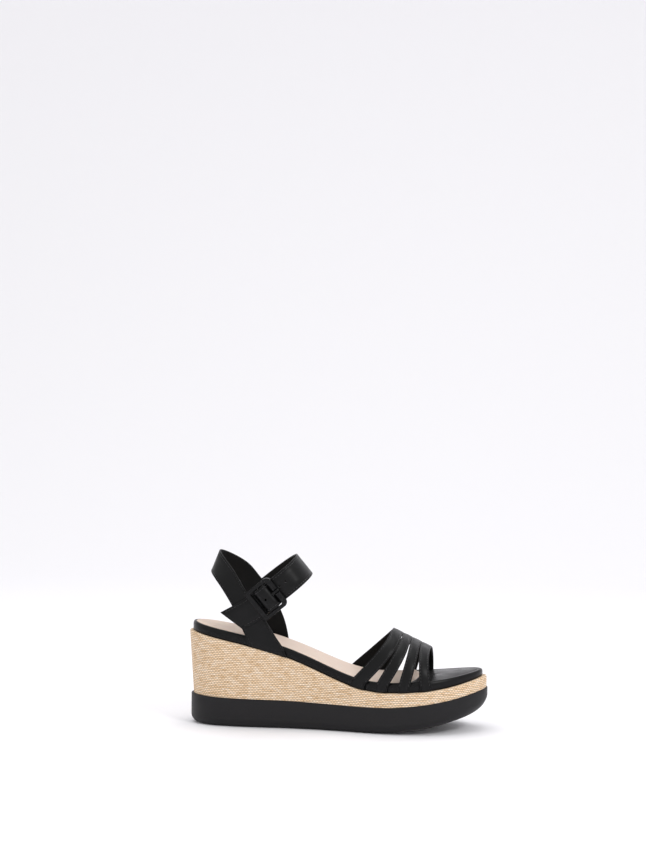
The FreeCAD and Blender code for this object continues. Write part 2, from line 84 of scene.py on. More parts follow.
# %% [markdown]
# ## One curve for everything
# Outlines, side profiles and strap edges are all a few points with a smooth curve
# through them. A cubic in each span whose slopes are solved together keeps the
# curvature running on, which is what makes a highlight travel without a kink.

# %% A smooth curve through points
def curve_through(points, at, closed=False):
    """Point at station `at`: 0 is the first point, 1 the second, and so on.

    Each span is a cubic between its two points and two slopes. The slopes solve
    one linear system that makes the bend equal on both sides of every point.
    """
    p = np.asarray(points, float)
    p = np.vstack([p, p[:1]]) if closed else p
    step = np.linalg.norm(np.diff(p, axis=0), axis=1)
    chord = np.diff(p, axis=0) / step[:, None]
    n = len(p)
    system, known = np.zeros((n, n)), np.zeros_like(p)
    i = np.arange(1, n - 1)
    system[i, i - 1], system[i, i + 1] = step[1:], step[:-1]
    system[i, i] = 2 * (step[1:] + step[:-1])
    known[i] = 3 * (step[1:, None] * chord[:-1] + step[:-1, None] * chord[1:])
    if closed:
        system[0, [0, -1]] = 1, -1
        system[-1, [-2, -1, 1]] = step[0], 2 * (step[0] + step[-1]), step[-1]
        known[-1] = 3 * (step[0] * chord[-1] + step[-1] * chord[0])
    else:
        system[0, :2], known[0] = (2, 1), 3 * chord[0]
        system[-1, -2:], known[-1] = (1, 2), 3 * chord[-1]
    slope = np.linalg.solve(system, known)
    span = np.clip(np.floor(at).astype(int), 0, n - 2)
    t = (np.asarray(at, float) - span)[..., None]
    h = step[span][..., None]
    return ((1 + 2 * t) * (1 - t) ** 2 * p[span] + t * (1 - t) ** 2 * h * slope[span]
            + t * t * (3 - 2 * t) * p[span + 1] + t * t * (t - 1) * h * slope[span + 1])


def height(profile, x):
    """Height of a side profile at x, read off 800 points of its curve, never below the ground."""
    line = curve_through(profile, np.linspace(0, len(profile) - 1, 800))
    return np.maximum(0, np.interp(x, line[:, 0], line[:, 1]))


# %% [markdown]
# ## Footprint and side profiles
# The footprint's sixteen points come in pairs: station 1 on the outer side faces
# station 15 on the inner side. Thanks to that, a row of points can run straight
# across the shoe from one side to the other, and a cap never needs a fan of slivers.

# %% The last's outlines
PLAN = [(0, 0.5), (10, -19), (32, -27.5), (90, -30), (130, -35.5), (178, -44.5), (212, -39),
        (236, -21), (248, 4), (238, 24), (215, 37), (178, 41), (130, 29.5), (90, 27), (32, 29),
        (10, 19.5)]
GROUND = [(-6, -1.5), (60, -1.5), (120, -0.8), (150, 0.1), (175, 1.6), (200, 5.2), (225, 11.0),
          (240, 16.4), (252, 25)]
SEAM = [(-6, 25), (30, 24.0), (80, 23.3), (130, 21.8), (165, 21.8), (195, 24.4), (225, 29.4),
        (254, 36.5)]
TOP_EDGE = [(-6, 78.8), (30, 71.4), (60, 65), (90, 56.2), (120, 44.1), (150, 34.7), (180, 33.8),
            (210, 36.5), (254, 46.6)]
PADDING = [(x, z - {210: 0.3, 254: 3.0}.get(x, 0)) for x, z in TOP_EDGE]
ROWS = 241
STATIONS = len(PLAN)
HALF = np.linspace(0, STATIONS / 2, ROWS)
RING = np.linspace(0, STATIONS, 2 * ROWS - 1)
WAIST_AT, NUDGE = 40.0, 0.01


def more(insets, amount):
    """The same wall moved further in by an amount."""
    return tuple(value + amount for value in insets)


def plan(insets, turn):
    """The footprint moved inwards by three insets, blended from heel to waist to toe."""
    points = np.array(PLAN, float)
    station = np.arange(float(STATIONS))
    after, before = (curve_through(PLAN, (station + step) % STATIONS, True) for step in (NUDGE, -NUDGE))
    run = unit(after - before)
    inset = np.interp(points[:, 0], [0, WAIST_AT, LENGTH], insets)
    moved = points + np.stack([-run[:, 1], run[:, 0]], 1) * inset[:, None]
    return curve_through(moved, turn % STATIONS, closed=True)


def lifted(xy, z):
    """Plan points with heights added as the third number."""
    return np.concatenate([xy, z[..., None]], axis=-1)


def across(insets, columns):
    """Plan grid over an outline: each row runs from an outer point to its inner twin."""
    outer, inner = plan(insets, HALF), plan(insets, STATIONS - HALF)
    share = np.linspace(0, 1, columns)[None, :, None]
    return outer[:, None] * (1 - share) + inner[:, None] * share


print("footprint", np.round(np.ptp(plan((0, 0, 0), RING), axis=0), 1), "mm")

# %% [markdown]
# ## From grids to a piece
# A piece is a list of grids. Where two grids meet, their edge points are equal, so
# welding the doubles closes every seam and pole. Only then can Blender tell inside
# from outside and turn all the faces outwards.

# %% Build and weld a piece
WELD = 1e-6
SHARP = np.radians(38)


def grid_faces(rows, columns, first=0):
    """Four corner numbers for each cell of a grid of points."""
    number = first + np.arange(rows * columns).reshape(rows, columns)
    return np.stack([number[:-1, :-1], number[:-1, 1:], number[1:, 1:], number[1:, :-1]], -1).reshape(-1, 4)


def from_arrays(name, points, faces, uv=None):
    """Object with the given points (drawing mm) and quads, welded and facing outwards."""
    mesh = bpy.data.meshes.new(name)
    mesh.from_pydata(to_frame(points).tolist(), [], faces.tolist())
    if uv is not None:
        mesh.uv_layers.new(name="cloth").data.foreach_set("uv", uv[faces].ravel().astype(np.float32))
    work = bmesh.new()
    work.from_mesh(mesh)
    bmesh.ops.remove_doubles(work, verts=work.verts, dist=WELD)
    bmesh.ops.dissolve_degenerate(work, edges=work.edges, dist=WELD)
    bmesh.ops.recalc_face_normals(work, faces=work.faces)
    work.to_mesh(mesh)
    work.free()
    mesh.shade_smooth()
    mesh.set_sharp_from_angle(angle=SHARP)
    piece = bpy.data.objects.new(name, mesh)
    bpy.context.scene.collection.objects.link(piece)
    print(f"{name}: {len(mesh.polygons)} faces")
    return piece


def from_grids(name, grids, uvs=None):
    """Object from several grids of points, each shaped rows, columns, 3."""
    first, faces = 0, []
    for grid in grids:
        faces.append(grid_faces(grid.shape[0], grid.shape[1], first))
        first += grid.shape[0] * grid.shape[1]
    points = np.concatenate([grid.reshape(-1, 3) for grid in grids])
    flat = None if uvs is None else np.concatenate([uv.reshape(-1, 2) for uv in uvs])
    return from_arrays(name, points, np.concatenate(faces), flat)


# %% [markdown]
# ## Materials: one way to add a node
# Colours are written as the hex values a designer would quote, so they are turned
# into linear light first. Patterns read object coordinates, in metres, so a scale
# of 1000 divided by a size in millimetres gives cells of that size.

# %% Colour and node helpers
def linear(colour):
    """sRGB hex to linear RGBA: the standard curve, a line below 0.04045 and a power above."""
    value = np.array([int(colour[i:i + 2], 16) for i in (1, 3, 5)]) / 255
    return (*np.where(value <= 0.04045, value / 12.92, ((value + 0.055) / 1.055) ** 2.4), 1.0)


def add_node(tree, kind, inputs=(), **settings):
    """Adds one node; inputs pairs a socket's name or number with a value or an output."""
    made = tree.nodes.new("ShaderNode" + kind)
    for key, value in settings.items():
        setattr(made, key, value)
    for key, value in dict(inputs).items():
        if isinstance(value, bpy.types.NodeSocket):
            tree.links.new(value, made.inputs[key])
        else:
            made.inputs[key].default_value = value
    return made


def new_material(name, **sockets):
    """A material with one Principled shader and the plain values that it starts from."""
    made = bpy.data.materials.new(name)
    made.use_nodes = True
    shader = made.node_tree.nodes["Principled BSDF"]
    for key, value in sockets.items():
        shader.inputs[key.replace("_", " ")].default_value = value
    return made, made.node_tree, shader


def per_mm(size):
    """Texture scale whose cells are about this many millimetres."""
    return 1000.0 / size


# %% [markdown]
# ### Coated leather, three ways
# The straps are a smooth coated leather: a thin black film pressed with a fine
# pebble grain about 0.7 mm across, rolled semi-matt. A Voronoi cell pattern makes
# the pebbles and a slow noise makes the film's patches of shine. The lining is the
# same without its polish, and the sock is undyed leather with a soft matt finish.

# %% Leathers
def grained_leather(name, colour, deep_colour, roughness, grain, relief, **sockets):
    """Leather whose colour drifts between two tones, with pebble grain and creased shine."""
    made, tree, shader = new_material(name, IOR=1.45, Specular_IOR_Level=0.24, **sockets)
    place = add_node(tree, "TexCoord").outputs["Object"]
    patches = add_node(tree, "TexNoise", {"Vector": place, "Scale": per_mm(9), "Detail": 3.0})
    tone = add_node(tree, "Mix", {"Factor": patches.outputs[0], 6: linear(deep_colour), 7: linear(colour)},
                    data_type="RGBA")
    shine = add_node(tree, "MapRange", {0: patches.outputs[0], 1: 0.3, 2: 0.7, 3: roughness - 0.05,
                                        4: roughness + 0.07})
    pebbles = add_node(tree, "TexVoronoi", {"Vector": place, "Scale": per_mm(grain)}, feature="SMOOTH_F1")
    pores = add_node(tree, "TexNoise", {"Vector": place, "Scale": per_mm(grain * 3), "Detail": 4.0})
    both = add_node(tree, "Math", {0: pebbles.outputs[0], 1: pores.outputs[0]}, operation="ADD")
    bump = add_node(tree, "Bump", {"Height": both.outputs[0], "Distance": relief, "Strength": 0.6})
    tree.links.new(tone.outputs[2], shader.inputs["Base Color"])
    tree.links.new(shine.outputs[0], shader.inputs["Roughness"])
    tree.links.new(bump.outputs[0], shader.inputs["Normal"])
    return made


black_leather = grained_leather("coated_leather_black", "#080809", "#050506", 0.36, 0.7, 4e-5)
pad_leather = grained_leather("coated_leather_padded", "#060607", "#030304", 0.30, 0.7, 4e-5)
lining_leather = grained_leather("lining_leather_black", "#050505", "#030303", 0.6, 0.9, 3e-5)
sock_leather = grained_leather("sock_leather_undyed", "#E4CFC1", "#DCC5B5", 0.60, 0.8, 3e-5,
                               Subsurface_Weight=0.05)

# %% [markdown]
# ### Woven raffia
# The wedge is wrapped in a plain weave of flat straw strips on a fine warp: every
# row passes over one warp thread and under the next. Straw is never even, so each
# strip gets its own tone and the rows wander a little. The wrap carries a cloth map
# in millimetres, because the weave has to follow the wall round the heel.

# %% Raffia weave
WEFT, WARP = 1.45, 1.3
STRIP_RUN, THREAD_RUN = 0.10, 0.12  # how fast the tone changes along a strip and a thread, per mm


def raffia_weave():
    """Plain weave. Each thread's height is half a sine across it, raised where it runs on top."""
    made, tree, shader = new_material("woven_raffia", IOR=1.45, Roughness=0.72)

    def calc(operation, first, second=0.0):
        """Output of one arithmetic node."""
        return add_node(tree, "Math", {0: first, 1: second}, operation=operation).outputs[0]

    cloth = add_node(tree, "UVMap", uv_map="cloth").outputs[0]
    wander = add_node(tree, "TexNoise", {"Vector": cloth, "Scale": 0.16, "Detail": 2.0})
    shifted = add_node(tree, "VectorMath", {0: wander.outputs["Color"], 1: (0.5, 0.5, 0.5)},
                       operation="SUBTRACT")
    nudge = add_node(tree, "VectorMath", {0: shifted.outputs[0], 3: 0.7}, operation="SCALE")
    moved = add_node(tree, "VectorMath", {0: cloth, 1: nudge.outputs[0]}, operation="ADD")
    split = add_node(tree, "SeparateXYZ", {0: moved.outputs[0]})
    column, row = calc("DIVIDE", split.outputs[0], WARP), calc("DIVIDE", split.outputs[1], WEFT)
    column_number, row_number = calc("FLOOR", column), calc("FLOOR", row)
    turn_over = calc("MULTIPLY", calc("ADD", column, row_number), np.pi)
    turn_under = calc("MULTIPLY", calc("ADD", row, column_number), np.pi)
    strip = calc("MULTIPLY", calc("SINE", calc("MULTIPLY", calc("FRACT", row), np.pi)),
                 calc("MULTIPLY_ADD", calc("SINE", turn_over), 0.22))
    thread = calc("MULTIPLY", calc("SINE", calc("MULTIPLY", calc("FRACT", column), np.pi)),
                  calc("MULTIPLY_ADD", calc("SINE", turn_under), 0.26))
    for raised, base in ((strip, 0.80), (thread, 0.46)):
        raised.node.inputs[1].links[0].from_node.inputs[2].default_value = base
    top = calc("MAXIMUM", strip, thread)
    on_top = calc("GREATER_THAN", strip, thread)

    along_strip = add_node(tree, "CombineXYZ", {0: calc("MULTIPLY", split.outputs[0], STRIP_RUN),
                                                1: row_number})
    along_thread = add_node(tree, "CombineXYZ", {0: calc("MULTIPLY", split.outputs[1], THREAD_RUN),
                                                 1: column_number, 2: 7.0})
    strip_tone = add_node(tree, "TexNoise", {"Vector": along_strip.outputs[0], "Scale": 1.7, "Detail": 2.0})
    thread_tone = add_node(tree, "TexNoise",
                           {"Vector": along_thread.outputs[0], "Scale": 1.7, "Detail": 2.0})
    tone = add_node(tree, "Mix", {"Factor": on_top, 2: thread_tone.outputs[0], 3: strip_tone.outputs[0]})
    straw = add_node(tree, "ValToRGB", {0: tone.outputs[0]})
    ramp = straw.color_ramp
    ramp.elements[0].position, ramp.elements[0].color = 0.30, linear("#D8B48A")
    ramp.elements[1].position, ramp.elements[1].color = 0.72, linear("#FBE7D0")
    ramp.elements.new(0.48).color = linear("#EFD0AC")
    # Painted shade and painted highlight: the straw colour is darkened where strips and threads dip under
    # each other, and lifted a little on their crowns.
    weave_shade = add_node(tree, "MapRange", {0: top, 1: 0.3, 2: 0.75, 3: 0.38, 4: 1.08})
    shaded = add_node(tree, "VectorMath", {0: straw.outputs[0], 3: weave_shade.outputs[0]}, operation="SCALE")
    bump = add_node(tree, "Bump", {"Height": top, "Distance": 2.5e-4, "Strength": 0.75})
    tree.links.new(shaded.outputs[0], shader.inputs["Base Color"])
    tree.links.new(bump.outputs[0], shader.inputs["Normal"])
    return made


raffia = raffia_weave()

# %% [markdown]
# ### Rubber, enamel and the hidden materials
# The platform is moulded rubber with the fine spark texture of its mould, which
# scatters light into a soft grey. The buckle is dipped in gloss black enamel over a
# zinc casting. Foam, fibreboard and steel are inside the shoe, but each is still
# given its own look, because the shoe may be opened or shown cut.

# %% Other materials
def speckled(name, colour, fleck_colour, roughness, fleck, relief, **sockets):
    """Two-tone material: noise flecks of a given size drive both the colour and the relief."""
    made, tree, shader = new_material(name, Roughness=roughness, **sockets)
    place = add_node(tree, "TexCoord").outputs["Object"]
    noise = add_node(tree, "TexNoise", {"Vector": place, "Scale": per_mm(fleck), "Detail": 4.0})
    spread = add_node(tree, "MapRange", {0: noise.outputs[0], 1: 0.35, 2: 0.65})
    tone = add_node(tree, "Mix", {"Factor": spread.outputs[0], 6: linear(fleck_colour), 7: linear(colour)},
                    data_type="RGBA")
    bump = add_node(tree, "Bump", {"Height": noise.outputs[0], "Distance": relief, "Strength": 0.5})
    tree.links.new(tone.outputs[2], shader.inputs["Base Color"])
    tree.links.new(bump.outputs[0], shader.inputs["Normal"])
    return made


rubber = speckled("moulded_rubber", "#19181A", "#141315", 0.5, 0.6, 5e-5, IOR=1.5,
                  Specular_IOR_Level=0.25)
enamel = speckled("gloss_black_enamel", "#060607", "#040405", 0.2, 6.0, 1e-5, IOR=1.5,
                  Specular_IOR_Level=0.15, Coat_Weight=0.12, Coat_Roughness=0.06)
thread_black = speckled("bonded_thread", "#202022", "#141416", 0.5, 0.3, 3e-5, Sheen_Weight=0.3)
wedge_foam = speckled("eva_foam", "#D9CFBE", "#C9BDA9", 0.85, 1.2, 1e-4)
soft_foam = speckled("latex_foam", "#E6E3DC", "#D6D2C8", 0.9, 0.8, 1e-4)
fibreboard = speckled("pressed_fibreboard", "#B08A62", "#8E6C48", 0.85, 1.5, 8e-5)
steel = speckled("rolled_spring_steel", "#8C8D90", "#7A7B7E", 0.35, 0.8, 2e-5, Metallic=1.0)

# %% [markdown]
# ## Finishing a piece
# Every piece stands for a CAD node, rides on that node's body and takes its
# material. One call does all of it, so none can be forgotten.

# %% Hand a piece over
NODE_BODY = {node: body for body, nodes in frame["record"]["behaviour"]["bodies"].items() for node in nodes}


def hand_over(piece, material, node, stands_for=True):
    """Gives a piece its material, hides the CAD node it stands for, and lets it ride where that node rides.
    """
    piece.data.materials.clear()
    piece.data.materials.append(material)
    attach(piece, NODE_BODY[node])
    if stands_for:
        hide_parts(node)
    return piece


# %% [markdown]
# ## Platform sole
# A moulded slab. Its wall goes once round the footprint; the lower edge is rounded
# by 7 mm, the rim at the top only just broken. A wavy tread is pressed into the
# underside, deep enough to feel but kept away from the edge.

# %% Sole
SOLE_ROUND, SOLE_RIM, RIM_LAND = 7.0, 0.8, 6.0
TREAD_PITCH, TREAD_DEPTH = 11.0, 0.9


def sole_row(inset, profile, lift):
    """One ring round the footprint: inset from the wall and lifted above a side profile."""
    xy = plan((inset,) * 3, RING)
    return lifted(xy, height(profile, xy[:, 0]) + lift)


def tread(xy):
    """Depth of the grooves: a wave along the sole, bent by a slower wave across it."""
    x, y = xy[..., 0], xy[..., 1]
    wave = 0.5 - 0.5 * np.cos(2 * np.pi * (x + 3.0 * np.cos(y / 5.0)) / TREAD_PITCH)
    width = np.abs(xy[:, -1:, 1] - xy[:, :1, 1])
    from_edge = width * np.minimum(np.linspace(0, 1, xy.shape[1]), np.linspace(1, 0, xy.shape[1]))
    inside = ease((from_edge - 3) / 3) * ease((x - 12) / 5) * ease((228 - x) / 5)
    waist = 1 - ease((x - 92) / 6) * ease((124 - x) / 6)
    return TREAD_DEPTH * ease((wave - 0.45) / 0.3) * inside * waist


lower = [sole_row(SOLE_ROUND * (1 - np.sin(a)), GROUND, SOLE_ROUND * (1 - np.cos(a)))
         for a in np.linspace(0, np.pi / 2, 9)]
upper = [sole_row(SOLE_RIM * (1 - np.cos(a)), SEAM, SOLE_RIM * (np.sin(a) - 1))
         for a in np.linspace(0, np.pi / 2, 5)]
wall = np.stack(lower + upper + [sole_row(RIM_LAND, SEAM, 0)])
under_xy = across((SOLE_ROUND,) * 3, 61)
under = lifted(under_xy, height(GROUND, under_xy[..., 0]) + tread(under_xy))
over_xy = across((RIM_LAND,) * 3, 21)
over = lifted(over_xy, height(SEAM, over_xy[..., 0]))
hand_over(from_grids("platform_sole_moulded", [wall, under, over]), rubber,
          "platform_sole")

# %% [markdown]
# ## Raffia wrap
# One strip of cloth is glued round the leaning wall of the wedge and turned over
# its top edge. The wall is a ruled surface between two footprints, one at the
# ground and one high above, so it leans outwards at the heel as the last does.

# %% Wrap
WRAP_FOOT, WRAP_HEAD, WRAP_TOP = (3.7, 1.0, 1.0), (-3.8, 0.2, 0.6), 110.0
FOLD, CLOTH = 1.9, 1.0


def wrap_row(inward, share, lift):
    """Ring on the leaning wall at a share of the way from seam to top edge.

    The wall's plan depends on the height and the height on the plan, so a few
    rounds of putting one into the other settle both.
    """
    foot, head = plan(more(WRAP_FOOT, inward), RING), plan(more(WRAP_HEAD, inward), RING)
    z = np.full(len(RING), 50.0)
    for _ in range(5):
        xy = foot + (head - foot) * z[:, None] / WRAP_TOP
        low, high = height(SEAM, xy[:, 0]), height(TOP_EDGE, xy[:, 0])
        z = low + (high - low) * share + lift
    return lifted(xy, z)


outside = [wrap_row(0, share, -0.6 * (1 - share) - FOLD * share) for share in np.linspace(0, 1, 14)]
fold = [wrap_row(FOLD * (1 - np.cos(a)), 1, FOLD * (np.sin(a) - 1)) for a in np.linspace(0.2, np.pi / 2, 6)]
inside = [wrap_row(9, 1, 0), wrap_row(9, 1, -CLOTH), wrap_row(CLOTH + 0.4, 1, -CLOTH),
          wrap_row(CLOTH, 1, -CLOTH - 0.5), wrap_row(CLOTH, 0, -0.6), wrap_row(0, 0, -0.6)]
wrap = np.stack(outside + fold + inside)
around = np.concatenate([[0], np.cumsum(np.linalg.norm(np.diff(wrap[0, :, :2], axis=0), axis=1))])
climb = np.linalg.norm(np.diff(wrap, axis=0), axis=2).cumsum(axis=0)
climb = np.concatenate([np.zeros((1, len(RING))), climb]) + wrap[0, :, 2]
cloth_map = np.stack([np.broadcast_to(around, climb.shape), climb], axis=-1)
hand_over(from_grids("raffia_wrap_woven", [wrap], [cloth_map]), raffia, "raffia_wrap")

# %% [markdown]
# ## Footbed: filler, cover and sock
# The footbed is a board with foam, dressed in black leather that is pulled down
# over its rim. The rim is a rounded roll, the toe end a low cushion. A pressure
# simulation would blow such a thin pad up evenly, and a real one is crowned only
# between its edges, so the crown is worked out: it follows the square of the
# distance from the middle. The sock is thin leather laid in, leaving the toes free.

# %% Footbed
RIM, SOCK = (1.2, 2.9, 4.2), (3.8, 6.4, 8.0)
COVER_HIGH, SOCK_THICK, SOCK_END = 8.0, 0.8, 189.0
ROLL_FROM, ROLL_IN, ROLL_PROUD, ROLL_POWER = 4.2, 2.1, 0.15, 0.9
UNDERCUT, TUCK_HIGH, QUARTER = 0.9, 1.5, np.pi / 2
TOE_CROWN, TOE_FOLD, FOLD_AT, FOLD_REACH = 1.5, 0.22, 203, 7


def footbed_z(x, above):
    """Height above the wedge's top edge, with the padding thinning towards the toe."""
    edge = height(TOP_EDGE, x)
    return edge + above + (height(PADDING, x) - edge) * np.clip(above / COVER_HIGH, 0, 1.2)


def rim_row(insets, above, sock_groove=0.0):
    """Ring of the footbed at a height above the wedge, with a groove along the sock only."""
    xy = plan(insets, RING)
    drop = sock_groove * ease((SOCK_END + 4 - xy[:, 0]) / 6)
    return lifted(xy, footbed_z(xy[:, 0], above) - drop)


def toe_crown(xy):
    """Cushion under the toes: highest in the middle, nothing at the rim or under the sock."""
    share = np.linspace(-1, 1, xy.shape[1])[None, :]
    end = ease((LENGTH - 2 - xy[..., 0]) / 22)
    ripple = np.sin(xy[..., 1] / 3.1 + 0.9 * np.sin(xy[..., 0] / 6))
    folds = TOE_FOLD * ripple * np.exp(-((xy[..., 0] - FOLD_AT) / FOLD_REACH) ** 2)
    return (TOE_CROWN * end + folds) * (1 - share ** 2) * ease((xy[..., 0] - SOCK_END) / 12)


tuck_rows = [rim_row(more(RIM, UNDERCUT * (1 - np.sin(a))), TUCK_HIGH * (1 - np.cos(a)))
             for a in np.linspace(0, QUARTER, 5)]
roll_rows = [rim_row(more(RIM, ROLL_IN * (1 - np.cos(a) ** ROLL_POWER)),
                     ROLL_FROM + (COVER_HIGH + ROLL_PROUD - ROLL_FROM) * np.sin(a) ** ROLL_POWER)
             for a in np.linspace(0, QUARTER, 10)]
land_rows = [rim_row(more(SOCK, -0.25), COVER_HIGH - 0.05, 0.1),
             rim_row(more(SOCK, 0.1), COVER_HIGH - 0.1, 0.2),
             rim_row(more(SOCK, 0.8), COVER_HIGH, 0.2)]
cover_wall = np.stack([rim_row(more(RIM, 3.0), 0.0)] + tuck_rows + roll_rows + land_rows)
bed_xy = across(more(SOCK, 0.8), 61)
bed_low = 0.2 * ease((SOCK_END + 4 - bed_xy[..., 0]) / 6)
bed = lifted(bed_xy, footbed_z(bed_xy[..., 0], COVER_HIGH) - bed_low + toe_crown(bed_xy))
base_xy = across(more(RIM, 3.0), 21)
base = lifted(base_xy, height(TOP_EDGE, base_xy[..., 0]))
cover = hand_over(from_grids("footbed_cover_rolled", [cover_wall, bed, base]), pad_leather,
                  "footbed_cover")

# %% [markdown]
# The sheets under the cover have square edges, and the cover's rim is round. They
# are cut a few millimetres inside the rim, each one further in than the one below.

# %% Filler, board and foam under the cover
FILLER_SHEET, BOARD_SHEET, FOAM_SHEET = (1.6, 0.02, 2.0), (2.2, 2.15, 4.1), (2.8, 4.15, 7.1)


def slab(inward, low, high):
    """A sheet lying on the wedge: one wall round the footprint, one face below and one above."""
    ring, sheet = plan(more(RIM, inward), RING), across(more(RIM, inward), 15)
    wall = np.stack([lifted(ring, footbed_z(ring[:, 0], above)) for above in (low, high)])
    return [wall] + [lifted(sheet, footbed_z(sheet[..., 0], above)) for above in (low, high)]


hand_over(from_grids("lasting_filler_sheet", slab(*FILLER_SHEET)), soft_foam,
          "lasting_filler")
hand_over(from_grids("insole_board_sheet", slab(*BOARD_SHEET)), fibreboard, "insole_board")
hand_over(from_grids("footbed_foam_sheet", slab(*FOAM_SHEET)), soft_foam, "footbed_foam")

# %% Sock
SOCK_ROWS, SOCK_EDGE, SOCK_SUNK = 181, 2.4, 0.5


def sock_sheet(inward, above):
    """Grid from heel to toe. Rows stop at the sock's end, the last ones bowed forwards."""
    outer = plan(more(SOCK, inward), HALF)
    stop = np.interp(SOCK_END - 3 - inward, outer[:, 0], HALF)
    turn = np.linspace(0, stop, SOCK_ROWS)
    sides = plan(more(SOCK, inward), turn), plan(more(SOCK, inward), STATIONS - turn)
    share = np.linspace(0, 1, 41)[None, :]
    xy = sides[0][:, None] * (1 - share[..., None]) + sides[1][:, None] * share[..., None]
    xy[..., 0] += 6 * (1 - (2 * share - 1) ** 2) * np.linspace(0, 1, SOCK_ROWS)[:, None] ** 6
    return lifted(xy, footbed_z(xy[..., 0], above))


def border(sheet):
    """The edge of a sheet as one line: down one side, along the front, back up the other."""
    return np.concatenate([sheet[:, 0], sheet[-1, 1:-1], sheet[::-1, -1]])


sock_low = COVER_HIGH - SOCK_SUNK
edge_rows = [border(sock_sheet(SOCK_EDGE * (1 - np.cos(a)), sock_low + (SOCK_THICK + SOCK_SUNK) * np.sin(a)))
             for a in np.linspace(0, QUARTER, 5)]
sock_grids = [sock_sheet(0, sock_low), sock_sheet(SOCK_EDGE, COVER_HIGH + SOCK_THICK), np.stack(edge_rows)]
hand_over(from_grids("sock_lining_laid_in", sock_grids), sock_leather, "sock_lining")

# %% [markdown]
# ## Straps
# A strap is folded leather: two edges rolled under, and a row of stitching a little
# inside each. Two rails carry its edges through space and one flat section is drawn
# between them, so the strap may widen, twist and bend and keep its thickness.

# %% A section carried between two rails
FACE, LINING = 1.0, 0.75
STRAP_THICK = FACE + LINING + 0.05


def strap_section(thick, crease, deep=0.3, puff=0.15):
    """Half profiles of a strap as (share across, mm past that, depth).

    The outer half goes from edge to edge over the face, with a pressed line
    `crease` mm inside each edge; the inner half comes back underneath.
    """
    side = [(0, 0.0, thick / 2), (0, 0.08, thick * 0.16), (0, 0.35, 0.0), (0, crease - 0.5, -0.10),
            (0, crease, deep), (0, crease + 0.5, -0.04)]
    middle = [(0.3, 0.0, -puff), (0.5, 0.0, -puff * 1.2), (0.7, 0.0, -puff)]
    other = [(1 - share, -past, depth) for share, past, depth in side[::-1]]
    face = np.array(side + middle + other)
    back = face.copy()
    rounding = [thick / 2, thick * 0.16]
    back[:, 2] = thick - np.array(rounding + [0.0] * (len(face) - 4) + rounding[::-1])
    return face, back


def lining_section(top, thick, shy=0.35):
    """Half profiles of a lining that stops a little short of the face's edges."""
    side = [(0, shy, thick / 2), (0, shy + 0.2, 0.0), (0, shy + 1.0, 0.0)]
    face = np.array(side + [(0.5, 0.0, 0.0)] + [(1, -past, depth) for _, past, depth in side[::-1]])
    back = face.copy()
    back[:, 2] = thick - face[:, 2]
    face[:, 2] += top
    back[:, 2] += top
    return face, back


def strap_frame(rear, front):
    """Unit vectors along, across and down into a strap at every station of its rails."""
    cross = unit(front - rear)
    along = unit(np.gradient((rear + front) / 2, axis=0))
    return along, cross, unit(np.cross(along, cross))


def strap(name, rear, front, section):
    """A closed strap: point = share between the rails + mm across + depth into the strap."""
    _, cross, down = strap_frame(rear, front)

    def half(profile):
        """One half of the section at every station."""
        share, past, depth = (profile[:, k][None, :, None] for k in range(3))
        return (rear[:, None] * (1 - share) + front[:, None] * share
                + cross[:, None] * past + down[:, None] * depth)

    face, back = (half(profile) for profile in section)
    around_section = np.concatenate([face, back[:, ::-1], face[:, :1]], axis=1)
    ends = [np.stack([face[i], back[i]]) for i in (0, -1)]
    return from_grids(name, [around_section] + ends)


# %% [markdown]
# ## Stitches
# A lockstitch shows as a short bead pulled into the leather at both ends. Every
# bead is the same little form of six sides, so one template is set along the crease
# as often as the thread goes in, all in one array.

# %% Stitch beads along a line
STITCH, STITCH_GAP, STITCH_THICK = 2.0, 0.7, 0.24


def stitches(name, rear, front, edge_in, reach=(0.0, 1.0)):
    """Beads along a crease on each given side: (share, mm inside that edge)."""
    along, cross, down = strap_frame(rear, front)
    angle = np.linspace(0, 2 * np.pi, 7)
    rings = np.array([-1.0, -0.72, 0.0, 0.72, 1.0])
    fat = np.array([0.02, 0.75, 1.0, 0.75, 0.02])
    points, faces = [], []
    for share, past in edge_in:
        line = rear * (1 - share) + front * share + cross * past
        run = np.concatenate([[0], np.cumsum(np.linalg.norm(np.diff(line, axis=0), axis=1))])
        pitch = STITCH + STITCH_GAP
        at = np.arange(run[-1] * reach[0] + pitch, run[-1] * reach[1] - pitch, pitch)
        mid, lead, side, sink = (np.stack([np.interp(at, run, part[:, k]) for k in range(3)], 1)
                                 for part in (line, along, cross, down))
        length = lead[:, None, None] * (rings * STITCH / 2)[None, :, None, None]
        swing = (side[:, None, None] * np.cos(angle)[None, None, :, None]
                 - sink[:, None, None] * np.sin(angle)[None, None, :, None])
        bead = (mid[:, None, None] + length + swing * (fat * STITCH_THICK)[None, :, None, None]
                + sink[:, None, None] * (0.12 + 0.16 * rings ** 2)[None, :, None, None])
        start = sum(len(part) for part in points)
        template = grid_faces(len(rings), len(angle))
        count = len(rings) * len(angle)
        faces.append((template[None] + start + np.arange(len(at))[:, None, None] * count).reshape(-1, 4))
        points.append(bead.reshape(-1, 3))
    return from_arrays(name, np.concatenate(points), np.concatenate(faces))


# %% [markdown]
# ## Vamp straps
# Four narrow straps fan out over the instep. Each edge is an arch: seen from the
# front it is a superellipse between the two rims, a curve squarer than an ellipse,
# and seen from the side it sweeps back as it comes down. Below the rim each strap
# turns in under the footbed.

